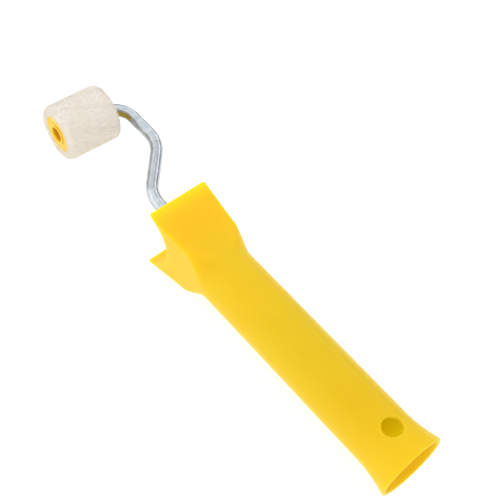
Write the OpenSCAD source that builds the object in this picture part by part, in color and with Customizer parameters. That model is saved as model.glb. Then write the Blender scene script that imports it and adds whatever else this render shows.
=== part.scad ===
// Mini edging paint roller: a short pile sleeve turning on a cranked wire
// frame, pressed into a hollow one-piece handle with a hook-shaped head.
//
// Frame: the origin is the centre of the hang hole, on the handle's axis.
// +X runs along the handle towards the roller, +Z is up through the hang
// hole, and the wire frame lies flat in the XY plane.

/* [Handle] */
// Overall length of the handle, from the butt to the lips of the head
handle_len = 170.3; // [160:0.1:190]
// Outer diameter of the round grip
grip_d = 31; // [29:0.5:34]
// Outer diameter of the flared butt
butt_d = 36.8; // [35:0.2:42]
// Length of the flare at the butt
flare_len = 19; // [12:1:24]
// Wall thickness at the rim of the butt
rim_wall = 2.3; // [1.8:0.1:3]
// Diameter of the straight bore inside the grip, which takes a pole
socket_d = 26; // [22:0.5:27]
// Depth of the open bore, from the butt to the ribs
socket_depth = 96; // [70:1:100]
// Diameter of the hang hole through both walls
hang_d = 10; // [6:0.5:12]
// Distance from the butt to the centre of the hang hole
hang_from_butt = 17.1; // [14:0.1:20]

/* [Head] */
// Width of the head across its lips
head_w = 35.4; // [33:0.2:38]
// Height of the head at its lips
head_h = 41.4; // [39:0.2:42]
// Width of the head where its flat faces end
head_back_w = 31.2; // [31:0.2:35]
// Height of the head where its flat faces end
head_back_h = 32.8; // [31:0.2:37]
// Length of the flat faces, back from the lips
head_len = 26.8; // [22:0.1:30]
// Length over which the square head runs out into the round grip
blend_len = 13; // [8:0.5:20]
// Radius of the hook-shaped mouth
mouth_r = 21.5; // [21.3:0.1:23]
// Depth of the mouth behind the lips
mouth_depth = 13.8; // [12:0.1:15]

/* [Wire frame] */
// Diameter of the wire
wire_d = 7; // [6:0.5:8]
// Distance from the lips of the head to the roller's axis
reach = 81.7; // [76:0.1:100]
// How far the outer leg stands beside the handle's axis
frame_offset = 25.1; // [24:0.2:32]
// Angle of the slanted leg to the handle's axis
crank_angle = 43.8; // [38:0.2:50]
// Distance from the lips to the corner of the first bend
crank_start = 20.2; // [18:0.1:26]
// Centreline radius of the two crank bends
crank_r = 20; // [12:0.5:21]
// Centreline radius of the bend into the spindle
spindle_r = 12.8; // [12:0.1:13]
// Angle by which the spindle's free end leans forward
toe = 3; // [0:0.5:5]
// How far the sleeve's middle stands from the handle's axis, towards the bend
sleeve_shift = 0.7; // [0:0.1:1]
// Length of wire held inside the head
tang_len = 55; // [40:1:58]

/* [Roller] */
// Outer diameter over the pile
pile_d = 31.2; // [28:0.2:34]
// Length of the pile sleeve
sleeve_len = 32.2; // [32:0.2:36]
// Radius of the soft shoulders of the pile
shoulder_r = 3.6; // [2:0.2:4.5]
// Outer diameter of the core tube
core_d = 20.8; // [20:0.2:23]
// Wall thickness of the core tube
core_wall = 1.2; // [1:0.1:1.6]
// Outer diameter of the end caps
cap_d = 21; // [20.6:0.1:22]
// Diameter of the hole in the outer end cap
cap_hole_d = 8.7; // [8.6:0.1:9.4]
// How far the end caps sit inside the ends of the pile
cap_inset = 0.8; // [0.6:0.1:2]
// How far the collar round the outer cap's hole stands out of its face
collar_proud = 0.8; // [0.4:0.1:0.8]
// Outer diameter of the bearing tube
bearing_d = 10; // [9.8:0.1:11]
// Radial running clearance between the bearing tube and the spindle
run_gap = 0.06; // [0.02:0.01:0.1]

/* [Hidden] */
$fn = 96;
eps = 0.02;                              // interference of a press fit

butt_x = -hang_from_butt;
lip_x = butt_x + handle_len;
grip_r = grip_d / 2;
butt_r = butt_d / 2;
sock_r = socket_d / 2;
wire_r = wire_d / 2;
back_x = lip_x - head_len;               // where the flat faces end
round_x = back_x - blend_len;            // where the grip is round again
mouth_x = lip_x - mouth_depth;           // bottom of the mouth
rib_x = butt_x + socket_depth;           // where the inner ribs start
cav_x = mouth_x - 12;                    // end of the hollow
boss_r = wire_r + 3;
roll_x = lip_x + reach;                  // roller's axis at y = 0

yellow = [0.96, 0.78, 0.14];
cap_yellow = [0.97, 0.80, 0.20];
zinc = [0.72, 0.75, 0.78];

// ---------- helpers ----------

// revolves a polygon of [radius, x] points about the X axis
module about_x(pts) {
  rotate([90, 0, 90]) rotate_extrude() polygon(pts);
}

function smooth(t) = t * t * (3 - 2 * t);
function arc(cx, cy, r, a0, a1, n) =
  [for (i = [0:n]) let (a = a0 + (a1 - a0) * i / n) [cx + r * cos(a), cy + r * sin(a)]];

// ---------- handle ----------

// outer radius of the flared butt, t = 0 at the rim and 1 where the grip starts
function flare_r(t) = grip_r + (butt_r - grip_r) * pow(1 - t, 1.8);

module grip_outside() {
  n = 9;
  rr = 1.2;                              // rounding of the rim
  about_x(concat(
    [[0, butt_x], [butt_r - 2 * rr, butt_x]],
    arc(butt_r - rr, butt_x + rr, rr, -90, 0, 4),
    [for (i = [1:n]) let (t = i / n) [flare_r(t) - (i == 0 ? 0.2 : 0), butt_x + flare_len * t]],
    [[grip_r, round_x + 6], [0, round_x + 6]]));
}

// half height or half width of the head, x measured from the butt's side
function taper(x, lip, back) =
  x >= back_x ? back + (lip - back) * (x - back_x) / head_len
              : grip_r + (back - grip_r) * smooth((x - round_x) / blend_len);

module head_profile(lip, back) {
  n = 6;
  xs = concat([for (i = [0:n]) round_x + blend_len * i / n], [lip_x]);
  polygon(concat([for (x = xs) [x, taper(x, lip, back)]],
                 [for (i = [len(xs) - 1:-1:0]) [xs[i], -taper(xs[i], lip, back)]]));
}

module head_block() {
  far = 30;
  n = 7;
  intersection() {
    // seen from the side: the flared height
    rotate([90, 0, 0]) translate([0, 0, -far])
      linear_extrude(2 * far) head_profile(head_h / 2, head_back_h / 2);
    // seen from above: the width
    translate([0, 0, -far])
      linear_extrude(2 * far) head_profile(head_w / 2, head_back_w / 2);
    // the corners run out into the round grip
    about_x(concat([[0, round_x]],
      [for (i = [0:n]) let (t = i / n)
        [grip_r + 9 * pow(t, 1.2), round_x + (blend_len + 3) * t]],
      [[far, round_x + blend_len + 8], [far, lip_x + 1], [0, lip_x + 1]]));
  }
}

module hollow() {
  // flared mouth of the hollow, the straight pole socket, and behind the
  // pole's stop a slightly narrower stretch that the ribs stiffen
  flare_in = flare_len + 4;
  n = 8;
  about_x(concat([[0, butt_x - 1], [butt_r - rim_wall + 0.3, butt_x - 1]],
    [for (i = [0:n]) let (t = i / n)
      [sock_r + (butt_r - rim_wall - sock_r) * pow(1 - t, 1.5), butt_x + flare_in * t]],
    [[sock_r, rib_x], [sock_r - 0.7, rib_x], [sock_r - 0.7, cav_x], [0, cav_x]]));
}

module ribs() {
  rib_t = 2;
  translate([rib_x, 0, 0]) rotate([0, 90, 0]) cylinder(h = cav_x - rib_x + 1, r = boss_r);
  for (a = [45, 135]) rotate([a, 0, 0])
    translate([rib_x + 6, -sock_r - 0.8, -rib_t / 2]) cube([cav_x - rib_x - 5, 2 * sock_r + 1.6, rib_t]);
}

module handle() {
  color(yellow) difference() {
    union() {
      difference() {
        union() { grip_outside(); head_block(); }
        hollow();
        // hang hole through both walls
        translate([0, 0, -30]) cylinder(h = 60, r = hang_d / 2);
      }
      ribs();
    }
    // hook-shaped mouth
    translate([mouth_x + mouth_r, 0, 0]) rotate([90, 0, 0])
      cylinder(h = 60, r = mouth_r, center = true, $fn = 180);
    // blunt tips of the two lips
    translate([lip_x - 0.4, -30, -30]) cube([10, 60, 60]);
    // pressed seat of the wire
    translate([mouth_x - tang_len - 0.5, 0, 0]) rotate([0, 90, 0])
      cylinder(h = tang_len + 12, r = wire_r - eps);
  }
}

// ---------- wire frame ----------

tang_x = mouth_x - tang_len;
v1 = lip_x + crank_start;                          // corner of the first bend
v2 = v1 + frame_offset / tan(crank_angle);         // corner of the second bend
v3 = roll_x - frame_offset * tan(toe);             // corner of the spindle bend
t12 = crank_r * tan(crank_angle / 2);              // tangent length, crank bends
t3 = spindle_r * tan((90 - toe) / 2);              // tangent length, spindle bend
slant = frame_offset / sin(crank_angle);

// positions along the spindle, from the middle of the sleeve outwards
collar_in = -10.2;                                 // inner face of the stop collar
collar_out = -11.9;
shoulder = 9.2;                                    // where the spindle steps down
tip = 11.2;                                        // end of the spindle
spindle_0 = sleeve_shift - frame_offset / cos(toe) + t3;  // where the bend ends

module rod(len) { rotate([0, 90, 0]) cylinder(h = len, r = wire_r, $fn = 48); }

// a bend that starts at the origin, heads along +X and turns by ang (left is +)
module elbow(r, ang) {
  s = sign(ang);
  translate([0, s * r, 0]) rotate([0, 0, s > 0 ? -90 : 90 + ang])
    rotate_extrude(angle = abs(ang), $fn = 96) translate([r, 0]) circle(r = wire_r, $fn = 48);
}

// a thin ring that closes the seam where a bend meets a straight leg
module seam() { rotate([0, 90, 0]) cylinder(h = 0.4, r = wire_r + 0.012, center = true, $fn = 48); }

module on_spindle() {
  translate([roll_x, 0, 0]) rotate([0, 0, -toe]) translate([0, -sleeve_shift, 0])
    rotate([-90, 0, 0]) children();
}

module wire_frame() {
  color(zinc) union() {
    // tang and shank on the handle's axis
    translate([tang_x, 0, 0]) rod(v1 - t12 - tang_x);
    translate([v1 - t12, 0, 0]) { seam(); elbow(crank_r, -crank_angle); }
    // slanted leg
    translate([v1, 0, 0]) rotate([0, 0, -crank_angle]) {
      translate([t12, 0, 0]) { seam(); rod(slant - 2 * t12); }
      translate([slant - t12, 0, 0]) { seam(); elbow(crank_r, crank_angle); }
    }
    // outer leg
    translate([v2 + t12, -frame_offset, 0]) { seam(); rod(v3 - t3 - v2 - t12); }
    translate([v3 - t3, -frame_offset, 0]) { seam(); elbow(spindle_r, 90 - toe); }
    // spindle with its stepped tip
    on_spindle() {
      translate([0, 0, spindle_0]) rotate([0, -90, 0]) seam();
      translate([0, 0, spindle_0]) cylinder(h = shoulder - spindle_0, r = wire_r);
      translate([0, 0, shoulder]) cylinder(h = tip - shoulder - 0.4, r = 2.2);
      translate([0, 0, tip - 0.4]) cylinder(h = 0.4, r1 = 2.2, r2 = 1.8);
    }
  }
}

module stop_collar() {
  color([0.62, 0.64, 0.66]) on_spindle() difference() {
    translate([0, 0, collar_out]) cylinder(h = collar_in - collar_out, r = 5.4);
    translate([0, 0, -20]) cylinder(h = 40, r = wire_r - eps);
  }
}

module push_nut() {
  // domed spring-steel cap nut with a turned-down rim
  color([0.55, 0.56, 0.58]) on_spindle() translate([0, 0, shoulder + 0.5]) rotate_extrude()
    polygon([[2.18, 0.7], [2.9, 0.1], [3.6, 0], [4.05, 0], [4.05, 0.5], [3.5, 0.55], [2.9, 0.75], [2.5, 1.25], [2.18, 1.3]]);
}

// ---------- roller ----------

end_z = sleeve_len / 2;
face_z = end_z - cap_inset;              // visible faces of the caps
flange_t = 1.6;
core_r = core_d / 2;
core_in = core_r - core_wall;
bear_r = bearing_d / 2;
bore_r = wire_r + run_gap;
bear_0 = collar_in + 0.3;                // inner end of the bearing tube
bear_1 = face_z - 0.8;                   // outer end, behind the cap's lip

module bearing_tube() {
  color([0.93, 0.58, 0.12]) on_spindle() difference() {
    translate([0, 0, bear_0]) cylinder(h = bear_1 - bear_0, r = bear_r);
    translate([0, 0, bear_0 - 1]) cylinder(h = 40, r = bore_r);
    translate([0, 0, shoulder + 0.2]) cylinder(h = 20, r = cap_hole_d / 2 - 0.05);
  }
}

// one end cap: flange, plug wall and hub joined by a web, opening towards +Z
module cap_body(hub_len) {
  plug_len = 7;
  difference() {
    union() {
      translate([0, 0, -flange_t]) cylinder(h = flange_t - 0.4, r = cap_d / 2);
      translate([0, 0, -0.4]) cylinder(h = 0.4, r1 = cap_d / 2, r2 = cap_d / 2 - 0.4);
      translate([0, 0, -plug_len]) cylinder(h = plug_len, r = core_in + eps);
      translate([0, 0, -hub_len]) cylinder(h = hub_len, r = bear_r + 2);
    }
    // ring-shaped lightening hollow, open to the inside
    translate([0, 0, -plug_len - 1]) difference() {
      cylinder(h = plug_len + 1 - flange_t, r = core_in - 1.3);
      translate([0, 0, -1]) cylinder(h = plug_len + 4, r = bear_r + 2);
    }
  }
}

module outer_end_cap() {
  color(cap_yellow) on_spindle() translate([0, 0, face_z]) difference() {
    union() {
      cap_body(9);
      // raised collar round the hole
      translate([0, 0, -0.5]) cylinder(h = collar_proud + 0.2, r = 5.6);
      translate([0, 0, collar_proud - 0.3]) cylinder(h = 0.3, r1 = 5.6, r2 = 5.3);
    }
    // seat for the bearing tube, then the lip it stops against
    translate([0, 0, -20]) cylinder(h = 20 - 0.8, r = bear_r - eps);
    translate([0, 0, -2]) cylinder(h = 4, r = cap_hole_d / 2);
    translate([0, 0, collar_proud - 0.35]) cylinder(h = 0.36, r1 = cap_hole_d / 2, r2 = cap_hole_d / 2 + 0.36);
  }
}

module inner_end_cap() {
  color(cap_yellow) on_spindle() mirror([0, 0, 1]) translate([0, 0, face_z]) difference() {
    cap_body(8.5);
    translate([0, 0, -20]) cylinder(h = 21, r = bear_r - eps);
    // recess around the stop collar and the end of the bend
    translate([0, 0, -face_z - bear_0]) cylinder(h = 20, r = 6.1);
  }
}

module core_tube() {
  z1 = face_z - flange_t;
  color([0.90, 0.90, 0.86]) on_spindle() difference() {
    translate([0, 0, -z1]) cylinder(h = 2 * z1, r = core_r);
    translate([0, 0, -20]) cylinder(h = 40, r = core_in);
  }
}

module pile_cover() {
  r = pile_d / 2;
  ri = core_r;
  lip_r = cap_d / 2 + 0.1;               // the pile stands round the caps
  s = shoulder_r;
  half = concat(
    [[ri, 0], [ri, face_z - flange_t], [lip_r, face_z - flange_t], [lip_r, end_z - 0.5], [lip_r + 0.5, end_z]],
    arc(r - s, end_z - s, s, 90, 0, 6), [[r, 0]]);
  n = len(half);
  color([0.90, 0.86, 0.79]) on_spindle() rotate_extrude()
    polygon(concat(half, [for (i = [n - 2:-1:1]) [half[i][0], -half[i][1]]]));
}

handle();
wire_frame();
stop_collar();
push_nut();
bearing_tube();
inner_end_cap();
outer_end_cap();
core_tube();
pile_cover();
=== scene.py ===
"""Looks of the mini edging roller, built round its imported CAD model. Metres, in the CAD's frame."""
import math
import bpy
import numpy as np
from mathutils import Matrix, Vector


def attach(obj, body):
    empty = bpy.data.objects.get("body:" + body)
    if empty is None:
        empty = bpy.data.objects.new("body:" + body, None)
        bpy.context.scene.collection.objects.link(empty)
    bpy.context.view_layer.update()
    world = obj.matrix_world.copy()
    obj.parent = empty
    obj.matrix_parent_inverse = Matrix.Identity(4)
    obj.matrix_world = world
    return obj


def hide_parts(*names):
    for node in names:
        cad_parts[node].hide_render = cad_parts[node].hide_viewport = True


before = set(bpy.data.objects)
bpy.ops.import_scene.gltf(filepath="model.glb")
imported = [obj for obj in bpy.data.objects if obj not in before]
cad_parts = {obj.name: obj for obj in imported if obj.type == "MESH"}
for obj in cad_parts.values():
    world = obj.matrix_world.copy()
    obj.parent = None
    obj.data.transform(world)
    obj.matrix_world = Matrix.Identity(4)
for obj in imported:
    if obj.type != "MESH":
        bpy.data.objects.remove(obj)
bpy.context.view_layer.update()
MM = 0.001
rng = np.random.default_rng(7)

# ------------------------------------------------------------------ numbers
# The handle's and frame's main sizes, in millimetres, as in the CAD part.
BUTT, LIP, GRIP_R, BUTT_R, FLARE = -17.1, 153.2, 15.5, 18.4, 19.0
RIM_WALL, SOCK_R, RIB_X, CAV_X = 2.3, 13.0, 78.9, 127.4
BACK_X, ROUND_X = 126.4, 113.4
HEAD_W, HEAD_H, BACK_W, BACK_H = 17.7, 20.7, 15.6, 16.4      # half sizes
MOUTH_X, MOUTH_R = 139.4, 21.5
WIRE_R, TANG_X = 3.5, 84.4
V1, OFFSET, CRANK, CRANK_R = 173.4, 25.1, math.radians(43.8), 20.0
TOE, SPINDLE_R, ROLL_X, SHIFT = math.radians(3), 12.8, 234.9, 0.7


# ------------------------------------------------------------------ helpers
def add_mesh(name, verts, faces, normals=None, smooth=True):
    """A new mesh object from millimetres. faces is an (n, 3) or (n, 4) array, or a list of them."""
    me = bpy.data.meshes.new(name)
    blocks = [np.asarray(f, np.int64) for f in (faces if isinstance(faces, list) else [faces])]
    loops = np.concatenate([b.ravel() for b in blocks])
    sizes = np.concatenate([np.full(len(b), b.shape[1]) for b in blocks])
    me.vertices.add(len(verts))
    me.vertices.foreach_set("co", (np.asarray(verts) * MM).astype(np.float32).ravel())
    me.loops.add(len(loops))
    me.loops.foreach_set("vertex_index", loops.astype(np.int32))
    me.polygons.add(len(sizes))
    me.polygons.foreach_set("loop_start", np.concatenate([[0], np.cumsum(sizes)[:-1]]).astype(np.int32))
    me.polygons.foreach_set("use_smooth", np.full(len(sizes), smooth))
    me.update(calc_edges=True)
    me.validate()
    if normals is not None:
        me.normals_split_custom_set_from_vertices(np.asarray(normals, float).tolist())
    ob = bpy.data.objects.new(name, me)
    bpy.context.scene.collection.objects.link(ob)
    return ob


def smooth01(t):
    t = np.clip(t, 0, 1)
    return t * t * (3 - 2 * t)


def place(ob, body, node, mat):
    ob.data.materials.clear()
    ob.data.materials.append(mat)
    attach(ob, body)
    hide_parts(node)
    return ob


def spindle(points):
    """Points of the roller's own frame, z along the spindle and outwards, in the row frame."""
    p = np.asarray(points, float)
    x, y, z = p[:, 0], p[:, 1], p[:, 2]
    c, s = math.cos(TOE), math.sin(TOE)
    v = z - SHIFT
    return np.stack([ROLL_X + x * c + v * s, -x * s + v * c, -y], 1)


# ------------------------------------------------------------------ handle, as one smooth implicit solid
def meet(fs, r):
    """Intersection of solids with edges rounded to radius r. Inside is negative."""
    u = np.zeros_like(fs[0])
    m = fs[0]
    for f in fs:
        u += np.maximum(f + r, 0) ** 2
        m = np.maximum(m, f)
    return np.minimum(m, -r) + np.sqrt(u)


def join(fs, r):
    return -meet([-f for f in fs], r)


def half_side(x, lip, back):
    """Half width or half height of the head at x, with the change of slope softened."""
    slope = (lip - back) / (LIP - BACK_X)
    e = 3.5
    d = x - BACK_X
    soft = np.where(d > e, d, np.where(d < -e, 0, (d + e) ** 2 / (4 * e)))
    return GRIP_R + (back - GRIP_R) * smooth01((x - ROUND_X) / (BACK_X - ROUND_X)) + slope * soft


def handle_field(x, y, z):
    rho = np.sqrt(y * y + z * z)
    # outside: a round grip with a flared butt, running out into the square head
    t = np.clip((x - BUTT) / FLARE, 0, 1)
    grip = rho - (GRIP_R + (BUTT_R - GRIP_R) * (1 - t) ** 1.8)
    a = half_side(x, HEAD_W, BACK_W)
    b = half_side(x, HEAD_H, BACK_H)
    # the corner radius shrinks from the round grip's to the head's soft edges
    e = 3.0
    d = x - ROUND_X
    run = np.where(d > e, d, np.where(d < -e, 0, (d + e) ** 2 / (4 * e)))
    edge = 1.3 + 14.2 * (1 - np.clip(run / 12.2, 0, 1)) ** 1.15
    edge = np.minimum(edge, np.minimum(a, b))
    qy, qz = np.abs(y) - a, np.abs(z) - b
    u = np.sqrt(np.maximum(qy + edge, 0) ** 2 + np.maximum(qz + edge, 0) ** 2)
    head = np.minimum(np.maximum(qy, qz), -edge) + u
    # the lips' corners are rounded as seen from above
    head = np.maximum(head, meet([np.abs(y) - a, x - (LIP - 0.2)], 2.0))
    out = np.where(x < ROUND_X - e, grip, head)
    # the open hollow, its stop shoulder, the boss and the crossing ribs
    ti = np.clip((x - BUTT) / (FLARE + 4), 0, 1)
    r_in = SOCK_R + (BUTT_R - RIM_WALL - SOCK_R) * (1 - ti) ** 1.5 - 0.7 * smooth01((x - RIB_X + 0.3) / 0.6)
    cav = meet([rho - r_in, x - CAV_X], 0.8)
    d1, d2 = np.abs(y - z) / math.sqrt(2) - 1.0, np.abs(y + z) / math.sqrt(2) - 1.0
    plates = meet([np.minimum(d1, d2), RIB_X + 6 - x], 0.35)
    boss = meet([rho - 6.5, RIB_X - x], 0.5)
    f = meet([out, BUTT - x, -cav], 0.95)
    f = join([f, join([boss, plates], 0.5)], 0.4)
    f = np.maximum(f, np.maximum(out, BUTT - x))
    # hook-shaped mouth, blunt lips, hang hole and the wire's seat
    mouth = MOUTH_R - np.sqrt((x - MOUTH_X - MOUTH_R) ** 2 + z * z)
    f = meet([f, mouth, x - (LIP - 0.25)], 0.3)
    f = meet([f, 5.0 - np.sqrt(x * x + y * y)], 0.7)
    seat = np.minimum(3.49 - rho, x - TANG_X + 0.5)
    return meet([f, seat], 0.25)


def surface_nets(field, xs, ys, zs):
    X, Y, Z = np.meshgrid(xs, ys, zs, indexing="ij")
    F = field(X, Y, Z)
    F[F == 0] = 1e-9
    inside = F < 0
    nx, ny, nz = F.shape
    c = np.zeros((nx - 1, ny - 1, nz - 1), np.int8)
    for i in (0, 1):
        for j in (0, 1):
            for k in (0, 1):
                c += inside[i:nx - 1 + i, j:ny - 1 + j, k:nz - 1 + k]
    active = (c > 0) & (c < 8)
    I, J, K = np.nonzero(active)
    index = np.full(active.shape, -1, np.int64)
    index[I, J, K] = np.arange(len(I))
    acc = np.zeros((len(I), 3))
    cnt = np.zeros(len(I))
    for axis in range(3):
        o1, o2 = [q for q in range(3) if q != axis]
        for p in (0, 1):
            for q in (0, 1):
                d0 = [0, 0, 0]
                d0[o1], d0[o2] = p, q
                d1 = list(d0)
                d1[axis] = 1
                g0 = (I + d0[0], J + d0[1], K + d0[2])
                g1 = (I + d1[0], J + d1[1], K + d1[2])
                f0, f1 = F[g0], F[g1]
                m = (f0 < 0) != (f1 < 0)
                t = np.where(m, f0 / np.where(m, f0 - f1, 1), 0)
                pos = np.stack([xs[g0[0]] + t * (xs[g1[0]] - xs[g0[0]]),
                                ys[g0[1]] + t * (ys[g1[1]] - ys[g0[1]]),
                                zs[g0[2]] + t * (zs[g1[2]] - zs[g0[2]])], 1)
                acc += pos * m[:, None]
                cnt += m
    verts = acc / cnt[:, None]
    quads = []
    for axis in range(3):
        o1, o2 = (axis + 1) % 3, (axis + 2) % 3
        a0 = [slice(None)] * 3
        a1 = [slice(None)] * 3
        a0[axis], a1[axis] = slice(0, -1), slice(1, None)
        change = inside[tuple(a0)] != inside[tuple(a1)]
        g = np.stack(np.nonzero(change), 1)
        g = g[(g[:, o1] > 0) & (g[:, o2] > 0) & (g[:, o1] < F.shape[o1] - 1) & (g[:, o2] < F.shape[o2] - 1)]
        ring = []
        for p, q in ((0, 0), (1, 0), (1, 1), (0, 1)):
            h = g.copy()
            h[:, o1] -= 1 - p
            h[:, o2] -= 1 - q
            ring.append(index[h[:, 0], h[:, 1], h[:, 2]])
        ring = np.stack(ring, 1)
        flip = ~inside[g[:, 0], g[:, 1], g[:, 2]]
        ring[flip] = ring[flip][:, ::-1]
        quads.append(ring)
    return verts, np.concatenate(quads)


def gradient(field, v, e=0.02):
    g = np.empty_like(v)
    for a in range(3):
        d = np.zeros(3)
        d[a] = e
        p, q = v + d, v - d
        g[:, a] = (field(p[:, 0], p[:, 1], p[:, 2]) - field(q[:, 0], q[:, 1], q[:, 2])) / (2 * e)
    return g


def build_handle():
    xs = np.concatenate([np.arange(-17.8, 8.0, 0.5), np.arange(8.0, 111.0, 1.7),
                         np.arange(111.0, 138.0, 0.75), np.arange(138.0, 154.3, 0.42)])
    ys = np.linspace(-21.4, 21.4, 77) + 0.013
    v, q = surface_nets(handle_field, xs, ys, ys)
    home = v.copy()
    for _ in range(6):
        f = handle_field(v[:, 0], v[:, 1], v[:, 2])
        g = gradient(handle_field, v)
        n2 = np.maximum((g * g).sum(1), 0.05)
        step = -f[:, None] * g / n2[:, None]
        ln = np.linalg.norm(step, axis=1, keepdims=True)
        v = v + step * np.minimum(1, 0.25 / np.maximum(ln, 1e-9))
        off = v - home
        ln = np.linalg.norm(off, axis=1, keepdims=True)
        v = home + off * np.minimum(1, 0.6 / np.maximum(ln, 1e-9))
    g = gradient(handle_field, v, 0.06)
    g /= np.maximum(np.linalg.norm(g, axis=1, keepdims=True), 1e-9)
    return add_mesh("handle_shell", v, q, normals=g)


# ------------------------------------------------------------------ wire frame, swept along its real bends
def wire_path():
    """Centreline points and directions, from the tang to the spindle's shoulder."""
    pts, dirs = [], []

    def line(p0, p1, n):
        d = (p1 - p0) / np.linalg.norm(p1 - p0)
        for i in range(n):
            pts.append(p0 + (p1 - p0) * i / n)
            dirs.append(d)

    def turn(p0, d, ang, r, n):
        s = math.copysign(1, ang)
        c = p0 + s * r * np.array([-d[1], d[0]])
        for i in range(n):
            w = ang * i / n
            cw, sw = math.cos(w), math.sin(w)
            rel = p0 - c
            pts.append(c + np.array([rel[0] * cw - rel[1] * sw, rel[0] * sw + rel[1] * cw]))
            dirs.append(np.array([d[0] * cw - d[1] * sw, d[0] * sw + d[1] * cw]))
        cw, sw = math.cos(ang), math.sin(ang)
        rel = p0 - c
        return (c + np.array([rel[0] * cw - rel[1] * sw, rel[0] * sw + rel[1] * cw]),
                np.array([d[0] * cw - d[1] * sw, d[0] * sw + d[1] * cw]))

    t12 = CRANK_R * math.tan(CRANK / 2)
    t3 = SPINDLE_R * math.tan((math.pi / 2 - TOE) / 2)
    v2 = V1 + OFFSET / math.tan(CRANK)
    v3 = ROLL_X - OFFSET * math.tan(TOE)
    d = np.array([1.0, 0.0])
    p = np.array([V1 - t12, 0.0])
    line(np.array([TANG_X + 0.6, 0.0]), p, 20)
    p, d = turn(p, d, -CRANK, CRANK_R, 22)
    e = p + d * (OFFSET / math.sin(CRANK) - 2 * t12)
    line(p, e, 8)
    p, d = turn(e, d, CRANK, CRANK_R, 22)
    e = np.array([v3 - t3, -OFFSET])
    line(p, e, 6)
    p, d = turn(e, d, math.pi / 2 - TOE, SPINDLE_R, 34)
    z0 = SHIFT - OFFSET / math.cos(TOE) + t3
    line(p, p + d * (9.1 - z0), 14)
    pts.append(p + d * (9.1 - z0))
    dirs.append(d)
    return np.array(pts), np.array(dirs)


def build_wire():
    p, d = wire_path()
    s = np.concatenate([[0], np.cumsum(np.linalg.norm(np.diff(p, axis=0), axis=1))])
    # radius along the wire: chamfered tang, and a necked-down, chamfered spindle tip
    end, ed = p[-1], d[-1]
    rows = [(p[0] - d[0] * 0.6, d[0], 2.3, -0.6), (p[0] - d[0] * 0.58, d[0], 2.6, -0.58)]
    rows += [(p[i], d[i], WIRE_R, s[i]) for i in range(len(p))]
    for off, r in ((0.1, 3.42), (0.11, 3.3), (0.12, 2.3), (0.16, 2.2), (1.7, 2.2), (1.74, 2.19), (2.05, 1.9), (2.1, 1.7)):
        rows.append((end + ed * off, ed, r, s[-1] + off))
    n = 56
    th = np.arange(n) * 2 * math.pi / n
    verts, tag = [], []
    for c, dd, r, ss in rows:
        side = np.array([-dd[1], dd[0]])
        for w in th:
            verts.append([c[0] + side[0] * r * math.cos(w), c[1] + side[1] * r * math.cos(w), r * math.sin(w)])
            tag.append([math.cos(w) * r, math.sin(w) * r, ss])
    faces = []
    for i in range(len(rows) - 1):
        for j in range(n):
            a, b = i * n + j, i * n + (j + 1) % n
            faces.append([a, a + n, b + n, b])
    for base, flip in ((0, False), ((len(rows) - 1) * n, True)):
        c = rows[0 if base == 0 else -1]
        verts.append([c[0][0], c[0][1], 0.0])
        tag.append([0, 0, c[3]])
        m = len(verts) - 1
        for j in range(n):
            a, b = base + j, base + (j + 1) % n
            faces.append([m, a, b] if not flip else [m, b, a])
    quads = np.array([f for f in faces if len(f) == 4])
    tris = np.array([f for f in faces if len(f) == 3])
    ob = add_mesh("wire", np.array(verts), [quads, tris])
    fix_normals(ob)
    at = ob.data.attributes.new("along", "FLOAT_VECTOR", "POINT")
    at.data.foreach_set("vector", np.array(tag, np.float32).ravel())
    sharp(ob, 40)
    return ob


def fix_normals(ob):
    import bmesh
    bm = bmesh.new()
    bm.from_mesh(ob.data)
    bmesh.ops.recalc_face_normals(bm, faces=bm.faces)
    bm.to_mesh(ob.data)
    bm.free()


def sharp(ob, deg):
    ob.data.set_sharp_from_angle(angle=math.radians(deg))


# ------------------------------------------------------------------ turned parts
def rounded(points, seg=5):
    """A closed profile of (r, z, corner radius) with its corners rounded."""
    out = []
    n = len(points)
    for i in range(n):
        a, b, c = (np.array(points[(i + k) % n][:2], float) for k in (-1, 0, 1))
        r = points[i][2]
        u, v = (a - b) / np.linalg.norm(a - b), (c - b) / np.linalg.norm(c - b)
        cosang = float(np.clip(u @ v, -1, 1))
        ang = math.acos(cosang)
        if r <= 0 or ang > math.pi - 0.02:
            out.append(b)
            continue
        t = r / math.tan(ang / 2)
        t = min(t, 0.48 * np.linalg.norm(a - b), 0.48 * np.linalg.norm(c - b))
        for j in range(seg + 1):
            w = j / seg
            # a quadratic curve is close enough to an arc at these sizes
            out.append(b + u * t * (1 - w) ** 2 + v * t * w ** 2)
    return np.array(out)


def lathe(name, prof, n=96, deg=50):
    m = len(prof)
    th = np.arange(n) * 2 * math.pi / n
    r, z = prof[:, 0], prof[:, 1]
    P = np.stack([np.outer(np.cos(th), r), np.outer(np.sin(th), r), np.tile(z, (n, 1))], 2).reshape(-1, 3)
    i, j = np.meshgrid(np.arange(n), np.arange(m), indexing="ij")
    a = i * m + j
    b = ((i + 1) % n) * m + j
    c = ((i + 1) % n) * m + (j + 1) % m
    d = i * m + (j + 1) % m
    q = np.stack([a, b, c, d], 2).reshape(-1, 4)
    area = 0.5 * np.sum(r * np.roll(z, -1) - np.roll(r, -1) * z)
    if area < 0:
        q = q[:, ::-1]
    ob = add_mesh(name, spindle(P), q)
    fix_normals(ob)
    sharp(ob, deg)
    return ob


FACE = 15.3


def cap_profile(points, side):
    return rounded([(r, side * (FACE + z), c) for r, z, c in points])


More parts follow.
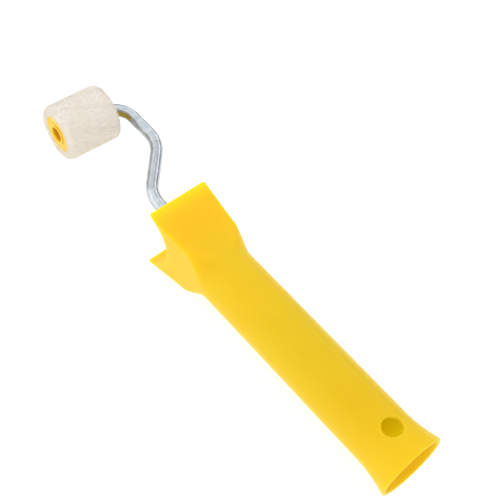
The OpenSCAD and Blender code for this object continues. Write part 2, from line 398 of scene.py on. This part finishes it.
OUTER_CAP = [(4.35, -0.8, 0.1), (4.35, 0.8, 0.45), (5.6, 0.8, 0.4), (5.6, 0, 0.35), (10.5, 0, 0.65), (10.5, -1.6, 0.15), (9.22, -1.6, 0.1),
             (9.22, -7, 0.3), (7.9, -7, 0.3), (7.9, -1.6, 0.4), (7.0, -1.6, 0.4), (7.0, -9, 0.3), (4.98, -9, 0.2),
             (4.98, -0.8, 0.1)]
INNER_CAP = [(6.1, -5.4, 0.2), (6.1, 0, 0.4), (10.5, 0, 0.65), (10.5, -1.6, 0.15), (9.22, -1.6, 0.1),
             (9.22, -7, 0.3), (7.9, -7, 0.3), (7.9, -1.6, 0.4), (7.0, -1.6, 0.4), (7.0, -8.5, 0.3), (4.98, -8.5, 0.2),
             (4.98, -5.4, 0.1)]
BEARING = [(3.56, -9.9, 0.3), (5.0, -9.9, 0.3), (5.0, 14.5, 0.2), (4.3, 14.5, 0.25), (4.3, 9.4, 0.3), (3.56, 9.4, 0.2)]
COLLAR = [(3.48, -11.9, 0.1), (5.4, -11.9, 0.4), (5.4, -10.2, 0.4), (3.48, -10.2, 0.1)]
CORE = [(9.2, -13.7, 0.2), (10.4, -13.7, 0.2), (10.4, 13.7, 0.2), (9.2, 13.7, 0.2)]
NUT = [(2.18, 10.4, 0), (2.9, 9.8, 0.3), (3.6, 9.7, 0.2), (4.05, 9.7, 0.1), (4.05, 10.2, 0.1), (3.5, 10.25, 0.2),
       (2.9, 10.45, 0.3), (2.5, 10.95, 0.1), (2.18, 11.0, 0.05)]


# ------------------------------------------------------------------ pile sleeve
PILE_R, PILE_Z, SHOULDER = 15.6, 16.1, 3.6


def build_pile():
    """A felted base with thousands of short bent fibre tufts rooted in it, one closed solid each."""
    lift = 0.55                                   # how far the base lies below the pile's outer skin
    ro, zo, sh = PILE_R - lift, PILE_Z - 0.5, SHOULDER - 0.5
    prof = [(10.42, 0.0), (10.42, 6.5), (10.42, 13.65), (10.6, 13.8), (10.6, zo - 0.7), (10.75, zo - 0.3), (11.2, zo)]
    for a in np.linspace(90, 0, 9):
        prof.append((ro - sh + sh * math.cos(math.radians(a)), zo - sh + sh * math.sin(math.radians(a))))
    k = 12
    for i in range(1, k + 1):
        prof.append((ro, (zo - sh) * (1 - i / k)))
    prof = np.array(prof)
    full = np.concatenate([prof, (prof[1:-1] * [1, -1])[::-1]])
    n = 176
    m = len(full)
    th = np.arange(n) * 2 * math.pi / n
    R = np.tile(full[:, 0], (n, 1))
    Z = np.tile(full[:, 1], (n, 1))
    # soft lumps of the nap, on the outer faces only
    outer = np.clip((full[:, 0] - 11.0) / 1.5, 0, 1)[None, :]
    lump = 0
    for a, kz, ph, am in ((5, 0.31, 0.3, .035), (9, 0.52, 1.7, .03), (14, 0.83, 4.1, .03), (23, 1.3, 2.2, .025)):
        lump = lump + am * np.sin(a * th[:, None] + kz * Z + ph) * np.cos((a // 2 + 1) * th[:, None] - 1.7 * kz * Z + 2 * ph)
    R = R + outer * (lump * 2 + rng.normal(0, 0.05, R.shape))
    P = np.stack([R * np.cos(th)[:, None], R * np.sin(th)[:, None], Z], 2).reshape(-1, 3)
    i, j = np.meshgrid(np.arange(n), np.arange(m), indexing="ij")
    nx = (i + 1) % n
    q = np.stack([i * m + j, nx * m + j, nx * m + (j + 1) % m, i * m + (j + 1) % m], 2).reshape(-1, 4)
    base_tone = np.full(len(P), 0.72) + rng.normal(0, 0.05, len(P))
    nb = len(P)
    # where the fibres are rooted: along the outer part of the profile, evenly by area
    arc = prof[5:]
    arc = np.concatenate([arc, (arc[:-1] * [1, -1])[::-1]])
    seg = np.diff(arc, axis=0)
    ln = np.linalg.norm(seg, axis=1)
    w = ln * (arc[:-1, 0] + arc[1:, 0]) / 2
    count = 15000
    cum = np.concatenate([[0], np.cumsum(w)]) / w.sum()
    u = (np.arange(count) + rng.uniform(0, 1, count)) / count
    idx = np.clip(np.searchsorted(cum, u) - 1, 0, len(seg) - 1)
    f = (u - cum[idx]) / (cum[idx + 1] - cum[idx])
    rz = arc[idx] + seg[idx] * f[:, None]
    nr = np.stack([-seg[idx][:, 1], seg[idx][:, 0]], 1) / ln[idx][:, None]
    nr *= np.sign((nr * (rz - np.array([12.5, 0]) * [1, 1]) * [1, 1]).sum(1))[:, None]
    ang = 2 * math.pi * ((np.arange(count) * 0.6180339887 + rng.uniform(-0.004, 0.004, count)) % 1)
    ca, sa = np.cos(ang), np.sin(ang)
    er = np.stack([ca, sa, np.zeros(count)], 1)
    et = np.stack([-sa, ca, np.zeros(count)], 1)
    ez = np.array([0, 0, 1.0])
    root = er * rz[:, :1] + ez * rz[:, 1:]
    nrm = er * nr[:, :1] + ez * nr[:, 1:]
    root = root - nrm * 0.12
    # lean of the nap: a slow swirl with random spread; the fibres are longer on the end faces
    swirl = 0.35 * np.sin(3 * ang + 0.25 * rz[:, 1]) + 0.2 * np.sin(7 * ang - 0.4 * rz[:, 1] + 1)
    edge = np.clip((np.abs(rz[:, 1]) - 11.5) / 3, 0, 1)
    d = (nrm + et * (swirl * 0.7 + rng.normal(0, 0.34, count))[:, None]
         + ez * rng.normal(0, 0.34, count)[:, None])
    d /= np.linalg.norm(d, axis=1, keepdims=True)
    L = lift + 0.42 + rng.normal(-0.02, 0.15, count) + 0.25 * edge
    L = np.clip(L, 0.45, 1.7)
    side = np.cross(d, rng.normal(0, 1, (count, 3)))
    side /= np.linalg.norm(side, axis=1, keepdims=True)
    other = np.cross(d, side)
    bend = side * (rng.uniform(0.05, 0.42, count) * L)[:, None]
    rad = rng.uniform(0.07, 0.115, count)
    mid = root + d * (L * 0.58)[:, None] + bend * 0.25
    tip = root + d * L[:, None] + bend
    vs = []
    for c, k in ((root, 0.95), (mid, 1.1)):
        for a in (0, 2 * math.pi / 3, 4 * math.pi / 3):
            vs.append(c + (side * math.cos(a) + other * math.sin(a)) * (rad * k)[:, None])
    vs.append(tip)
    FV = np.stack(vs, 1).reshape(-1, 3)
    o = nb + np.arange(count)[:, None] * 7
    t4 = [[0, 1, 4, 3], [1, 2, 5, 4], [2, 0, 3, 5]]
    t3 = [[3, 4, 6], [4, 5, 6], [5, 3, 6], [2, 1, 0]]
    fq = (o[:, None, :] + np.array(t4)[None]).reshape(-1, 4)
    ft = (o[:, None, :] + np.array(t3)[None]).reshape(-1, 3)
    tone = rng.normal(0.6, 0.13, count)
    # painted shade: each fibre is darker at its root and lighter at its tip, on top of its own random tone
    fibre_tone_root_shade = np.stack([tone - 0.1] * 3 + [tone] * 3 + [tone + 0.16], 1).ravel()
    ob = add_mesh("pile", spindle(np.concatenate([P, FV])), [np.concatenate([q, fq]), ft])
    at = ob.data.attributes.new("tone", "FLOAT", "POINT")
    at.data.foreach_set("value", np.concatenate([base_tone, fibre_tone_root_shade]).astype(np.float32))
    fix_normals(ob)
    return ob


# ------------------------------------------------------------------ materials
def material(name):
    mt = bpy.data.materials.new(name)
    mt.use_nodes = True
    nt = mt.node_tree
    nt.nodes.clear()
    out = nt.nodes.new("ShaderNodeOutputMaterial")
    b = nt.nodes.new("ShaderNodeBsdfPrincipled")
    nt.links.new(b.outputs[0], out.inputs[0])
    return mt, nt, b


def noise(nt, vec, scale, detail=4, rough=0.55, dist=0.0):
    n = nt.nodes.new("ShaderNodeTexNoise")
    n.inputs["Scale"].default_value = scale
    n.inputs["Detail"].default_value = detail
    n.inputs["Roughness"].default_value = rough
    n.inputs["Distortion"].default_value = dist
    if vec is not None:
        nt.links.new(vec, n.inputs["Vector"])
    return n.outputs["Fac"]


def ramp(nt, fac, stops):
    r = nt.nodes.new("ShaderNodeValToRGB")
    el = r.color_ramp.elements
    while len(el) < len(stops):
        el.new(0.5)
    for e, (p, c) in zip(el, stops):
        e.position = p
        e.color = (*c, 1) if hasattr(c, "__len__") else (c, c, c, 1)
    nt.links.new(fac, r.inputs[0])
    return r.outputs[0]


def bump(nt, height, strength, dist, prev=None):
    b = nt.nodes.new("ShaderNodeBump")
    b.inputs["Strength"].default_value = strength
    b.inputs["Distance"].default_value = dist
    nt.links.new(height, b.inputs["Height"])
    if prev is not None:
        nt.links.new(prev, b.inputs["Normal"])
    return b.outputs[0]


def coords(nt):
    return nt.nodes.new("ShaderNodeTexCoord").outputs["Object"]


def paint_bore_light(nt, tone, radius, x_max, painted_light_colour):
    """Painted light: inside the bore the plastic is painted a cleaner, brighter yellow, standing in for the light that
    comes through its own translucent wall.
    """
    tc = nt.nodes.new("ShaderNodeTexCoord")
    xyz = nt.nodes.new("ShaderNodeSeparateXYZ")
    nt.links.new(tc.outputs["Object"], xyz.inputs[0])
    flat = nt.nodes.new("ShaderNodeCombineXYZ")
    nt.links.new(xyz.outputs[1], flat.inputs[1])
    nt.links.new(xyz.outputs[2], flat.inputs[2])
    ln = nt.nodes.new("ShaderNodeVectorMath")
    ln.operation = "LENGTH"
    nt.links.new(flat.outputs[0], ln.inputs[0])
    near = nt.nodes.new("ShaderNodeMath")
    near.operation = "LESS_THAN"
    nt.links.new(ln.outputs["Value"], near.inputs[0])
    near.inputs[1].default_value = radius
    back = nt.nodes.new("ShaderNodeMath")
    back.operation = "LESS_THAN"
    nt.links.new(xyz.outputs[0], back.inputs[0])
    back.inputs[1].default_value = x_max
    painted_light_mask = nt.nodes.new("ShaderNodeMath")
    painted_light_mask.operation = "MULTIPLY"
    nt.links.new(near.outputs[0], painted_light_mask.inputs[0])
    nt.links.new(back.outputs[0], painted_light_mask.inputs[1])
    # painted light: where the mask is 1 the tone is swapped for the brighter colour
    mx = nt.nodes.new("ShaderNodeMix")
    mx.data_type = "RGBA"
    nt.links.new(painted_light_mask.outputs[0], mx.inputs[0])
    nt.links.new(tone, mx.inputs[6])
    mx.inputs[7].default_value = (*painted_light_colour, 1)
    return mx.outputs[2]


def plastic(name, lo, hi, rough=(0.34, 0.42), spec=0.35, sss=0.0, grain=0.02, depth=0.004, bore_painted_light=None):
    """Injection-moulded plastic: a faint cloud of tone, fine satin grain, and a few hair scratches."""
    mt, nt, b = material(name)
    co = coords(nt)
    cloud = noise(nt, co, 28, 3)
    tone = ramp(nt, cloud, [(0.3, lo), (0.7, hi)])
    # painted light: with a bore given, the hollow's inside is painted brighter
    if bore_painted_light:
        tone = paint_bore_light(nt, tone, *bore_painted_light)
    nt.links.new(tone, b.inputs["Base Color"])
    rn = noise(nt, co, 160, 4)
    nt.links.new(ramp(nt, rn, [(0.3, rough[0]), (0.7, rough[1])]), b.inputs["Roughness"])
    mp = nt.nodes.new("ShaderNodeMapping")
    mp.inputs["Scale"].default_value = (0.12, 1.0, 1.0)
    mp.inputs["Rotation"].default_value = (0.3, 0.2, 0.5)
    nt.links.new(co, mp.inputs["Vector"])
    hair = noise(nt, mp.outputs[0], 1400, 2, 0.4)
    fine = noise(nt, co, 2600, 2)
    n1 = bump(nt, hair, grain, 0.00004)
    nt.links.new(bump(nt, fine, grain * 2, 0.00003, n1), b.inputs["Normal"])
    b.inputs["Specular IOR Level"].default_value = spec
    if sss:
        b.inputs["Subsurface Weight"].default_value = sss
        b.inputs["Subsurface Scale"].default_value = depth
        b.inputs["Subsurface Radius"].default_value = (0.95, 0.88, 0.08)
    return mt


def zinc():
    """Bright zinc-plated drawn wire: long fine streaks along the wire, with a slightly cloudy bluish plating."""
    mt, nt, b = material("zinc_wire_mat")
    at = nt.nodes.new("ShaderNodeAttribute")
    at.attribute_name = "along"
    mp = nt.nodes.new("ShaderNodeMapping")
    mp.inputs["Scale"].default_value = (1.0, 1.0, 0.05)
    nt.links.new(at.outputs["Vector"], mp.inputs["Vector"])
    streak = noise(nt, mp.outputs[0], 2.6, 5, 0.6)
    cloud = noise(nt, at.outputs["Vector"], 0.25, 3)
    mix = nt.nodes.new("ShaderNodeMath")
    mix.operation = "MULTIPLY_ADD"
    mix.inputs[1].default_value = 0.5
    nt.links.new(streak, mix.inputs[0])
    half = nt.nodes.new("ShaderNodeMath")
    half.operation = "MULTIPLY"
    half.inputs[1].default_value = 0.5
    nt.links.new(cloud, half.inputs[0])
    nt.links.new(half.outputs[0], mix.inputs[2])
    nt.links.new(ramp(nt, mix.outputs[0], [(0.36, (0.40, 0.44, 0.475)), (0.62, (0.585, 0.625, 0.66))]), b.inputs["Base Color"])
    nt.links.new(ramp(nt, streak, [(0.3, 0.17), (0.7, 0.27)]), b.inputs["Roughness"])
    nt.links.new(bump(nt, streak, 0.12, 0.00008), b.inputs["Normal"])
    b.inputs["Metallic"].default_value = 1.0
    return mt


def steel(name, lo, hi, scale):
    mt, nt, b = material(name)
    co = coords(nt)
    n = noise(nt, co, scale, 5)
    nt.links.new(ramp(nt, n, [(0.3, lo), (0.7, hi)]), b.inputs["Base Color"])
    nt.links.new(ramp(nt, noise(nt, co, scale * 3, 3), [(0.3, 0.28), (0.7, 0.45)]), b.inputs["Roughness"])
    nt.links.new(bump(nt, n, 0.1, 0.00005), b.inputs["Normal"])
    b.inputs["Metallic"].default_value = 1.0
    return mt


def nap():
    """Cream knitted pile: each fibre has its own tone, with painted shade making roots darker than tips, and a soft
    sheen.
    """
    mt, nt, b = material("pile_fabric_mat")
    # the tone attribute carries each fibre's random tone and its painted root shade
    at = nt.nodes.new("ShaderNodeAttribute")
    at.attribute_name = "tone"
    co = coords(nt)
    patch = noise(nt, co, 130, 3)
    add = nt.nodes.new("ShaderNodeMath")
    add.operation = "MULTIPLY_ADD"
    add.inputs[1].default_value = 0.5
    nt.links.new(patch, add.inputs[0])
    nt.links.new(at.outputs["Fac"], add.inputs[2])
    nt.links.new(ramp(nt, add.outputs[0], [(0.30, (0.95, 0.835, 0.69)), (0.75, (1.0, 0.915, 0.795)), (1.0, (1.0, 0.95, 0.87))]),
                 b.inputs["Base Color"])
    nt.links.new(ramp(nt, noise(nt, co, 900, 2), [(0.3, 0.85), (0.7, 1.0)]), b.inputs["Roughness"])
    nt.links.new(bump(nt, noise(nt, co, 3000, 3), 0.3, 0.0001), b.inputs["Normal"])
    b.inputs["Specular IOR Level"].default_value = 0.15
    b.inputs["Sheen Weight"].default_value = 0.5
    b.inputs["Sheen Roughness"].default_value = 0.6
    b.inputs["Subsurface Weight"].default_value = 0.2
    b.inputs["Subsurface Scale"].default_value = 0.0015
    b.inputs["Subsurface Radius"].default_value = (1.0, 0.8, 0.6)
    return mt


# the handle's hollow, within 14.2 mm of the axis and short of x = 90 mm, gets painted light: a brighter, cleaner
# yellow
yellow = plastic("handle_plastic_mat", (0.94, 0.562, 0.008), (0.96, 0.585, 0.012), spec=0.16, sss=0.85, depth=0.006,
                 bore_painted_light=(0.0142, 0.09, (0.99, 0.74, 0.006)))
cap_yellow = plastic("cap_plastic_mat", (0.885, 0.56, 0.03), (0.91, 0.585, 0.04), spec=0.2, sss=0.6, depth=0.003)
# painted shade: the bearing tube's saturated orange stands in for the deep orange shading inside the outer cap's bore
bore_shade_orange = plastic("bearing_plastic_painted_shade_mat", (0.93, 0.36, 0.010), (0.96, 0.40, 0.014), (0.38, 0.48), spec=0.2)
core_white = plastic("core_plastic_mat", (0.74, 0.74, 0.70), (0.80, 0.80, 0.76), (0.45, 0.55))

# ------------------------------------------------------------------ pieces
place(build_handle(), "frame", "handle", yellow)
place(build_wire(), "frame", "wire_frame", zinc())
place(lathe("collar", rounded(COLLAR)), "frame", "stop_collar",
      steel("collar_steel_mat", (0.40, 0.41, 0.42), (0.52, 0.53, 0.54), 900))
place(lathe("nut", rounded(NUT, 3)), "frame", "push_nut",
      steel("nut_steel_mat", (0.33, 0.33, 0.34), (0.45, 0.45, 0.46), 1200))
place(lathe("bearing", rounded(BEARING)), "roller", "bearing_tube", bore_shade_orange)
place(lathe("cap_inner", cap_profile(INNER_CAP, -1), 128), "roller", "inner_end_cap", cap_yellow)
place(lathe("cap_outer", cap_profile(OUTER_CAP, 1), 128), "roller", "outer_end_cap", cap_yellow)
place(lathe("core", rounded(CORE)), "roller", "core_tube", core_white)
place(build_pile(), "roller", "pile_cover", nap())

# ------------------------------------------------------------------ stage
floor = add_mesh("floor", [[-4000, -4000, -20.75], [4000, -4000, -20.75], [4000, 4000, -20.75], [-4000, 4000, -20.75]],
                 np.array([[0, 1, 2, 3]]), smooth=False)
fm, nt, b = material("floor_mat")
nt.links.new(ramp(nt, noise(nt, coords(nt), 6, 2), [(0.3, (0.42, 0.42, 0.42)), (0.7, (0.44, 0.44, 0.44))]), b.inputs["Base Color"])
b.inputs["Roughness"].default_value = 0.9
b.inputs["Specular IOR Level"].default_value = 0.1
b.inputs["Emission Color"].default_value = (1, 1, 1, 1)
b.inputs["Emission Strength"].default_value = 0.78     # a light table, as under most cut-out product shots
floor.data.materials.append(fm)

world = bpy.data.worlds.new("studio")
bpy.context.scene.world = world
world.use_nodes = True
bg = world.node_tree.nodes["Background"]
wt = world.node_tree
sep = wt.nodes.new("ShaderNodeSeparateXYZ")
wt.links.new(wt.nodes.new("ShaderNodeTexCoord").outputs["Generated"], sep.inputs[0])
band = ramp(wt, sep.outputs["Z"], [(0.0, 0.0), (0.21, 0.0), (0.25, 1.0), (0.62, 1.0),
                                   (0.66, 0.1), (0.74, 0.1), (0.78, 1.0)])
neg = wt.nodes.new("ShaderNodeMath")            # 1 on the right (-Y) side, 0 elsewhere
neg.operation = "MULTIPLY"
neg.inputs[1].default_value = -1.0
wt.links.new(sep.outputs["Y"], neg.inputs[0])
side = ramp(wt, neg.outputs[0], [(0.05, 0.0), (0.25, 1.0)])
wm = wt.nodes.new("ShaderNodeMix")
wm.data_type = "RGBA"
wm.inputs[6].default_value = (1, 1, 1, 1)
wt.links.new(side, wm.inputs[0])
wt.links.new(band, wm.inputs[7])
# the bands are only there to be reflected: seen directly, the surroundings are plain white
seen = wt.nodes.new("ShaderNodeLightPath")
plain = wt.nodes.new("ShaderNodeMix")
plain.data_type = "RGBA"
plain.inputs[7].default_value = (1.55, 1.55, 1.55, 1)
wt.links.new(seen.outputs["Is Camera Ray"], plain.inputs[0])
wt.links.new(wm.outputs[2], plain.inputs[6])
wt.links.new(plain.outputs[2], bg.inputs[0])
bg.inputs[1].default_value = 0.66


def softbox(name, loc, target, size, power, tint=(1, 1, 1)):
    li = bpy.data.lights.new(name, "AREA")
    li.shape = "RECTANGLE"
    li.size, li.size_y = size
    li.energy = power
    li.color = tint
    ob = bpy.data.objects.new(name, li)
    bpy.context.scene.collection.objects.link(ob)
    ob.location = loc
    ob.rotation_euler = (Vector(target) - Vector(loc)).to_track_quat("-Z", "Y").to_euler()
    return ob


mid = (0.16, 0.0, 0.0)
softbox("left_box", (0.72, 0.90, 0.30), mid, (1.5, 0.9), 3.5)
softbox("head_box", (0.50, -0.06, 0.50), (0.2, 0, 0), (0.9, 0.9), 1.6)
softbox("right_box", (0.30, -1.05, 0.55), mid, (1.8, 0.5), 2.7)
softbox("butt_box", (-0.95, 0.10, 0.38), (0.2, 0, 0), (1.2, 0.7), 0.9)
fill = softbox("fill_box", (-0.15, 0.05, 0.38), (0.235, 0, 0), (0.3, 0.3), 0.06)
fill.data.spread = math.radians(50)

cam = bpy.data.cameras.new("camera")
cam.lens = 73.276
cam.sensor_width = 36
cam.clip_start, cam.clip_end = 0.01, 20
camera = bpy.data.objects.new("camera", cam)
bpy.context.scene.collection.objects.link(camera)
look = Vector((0.37218, -0.42632, -0.82446)).normalized()
right = Vector((-0.65172, -0.7525, 0.0949))
right = (right - look * right.dot(look)).normalized()
up = right.cross(look).normalized()
camera.matrix_world = Matrix(((right.x, up.x, -look.x, -0.07494), (right.y, up.y, -look.y, 0.20031),
                              (right.z, up.z, -look.z, 0.42390), (0, 0, 0, 1)))
bpy.context.scene.camera = camera
bpy.context.scene.view_settings.view_transform = "Standard"
